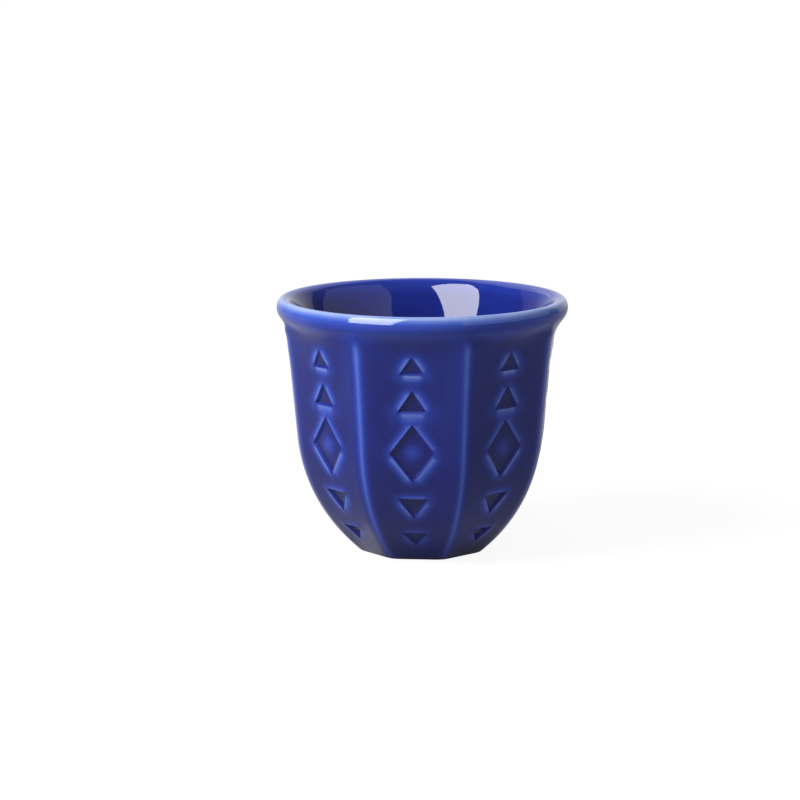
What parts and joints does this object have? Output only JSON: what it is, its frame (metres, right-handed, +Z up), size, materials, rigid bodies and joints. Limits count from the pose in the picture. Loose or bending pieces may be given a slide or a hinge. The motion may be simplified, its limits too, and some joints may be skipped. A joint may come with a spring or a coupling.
{
  "type": "coffee cup",
  "caption": "Small handleless coffee cup with a round rolled lip, upright curved facets and a pressed column of triangles and a diamond on each facet, glazed cobalt blue.",
  "frame": {"origin": "centre of the foot, on the surface that the cup stands on", "axes": "+Z up along the cup's axis, -Y is the outward normal of one facet"},
  "size_m": [0.065, 0.065, 0.057],
  "materials": {
    "bare_porcelain": "fired white porcelain, unglazed and matte where the foot ring is bare",
    "cobalt_glaze_outside": "glossy translucent cobalt glaze, thin and lighter on edges, pooled and darker in the pressed motifs",
    "cobalt_glaze_inside": "smooth glossy cobalt glaze"
  },
  "bodies": {
    "root": {"porcelain_body": "bare_porcelain", "outer_glaze": "cobalt_glaze_outside", "inner_glaze": "cobalt_glaze_inside", "base_glaze": "cobalt_glaze_outside"}
  },
  "joints": []
}
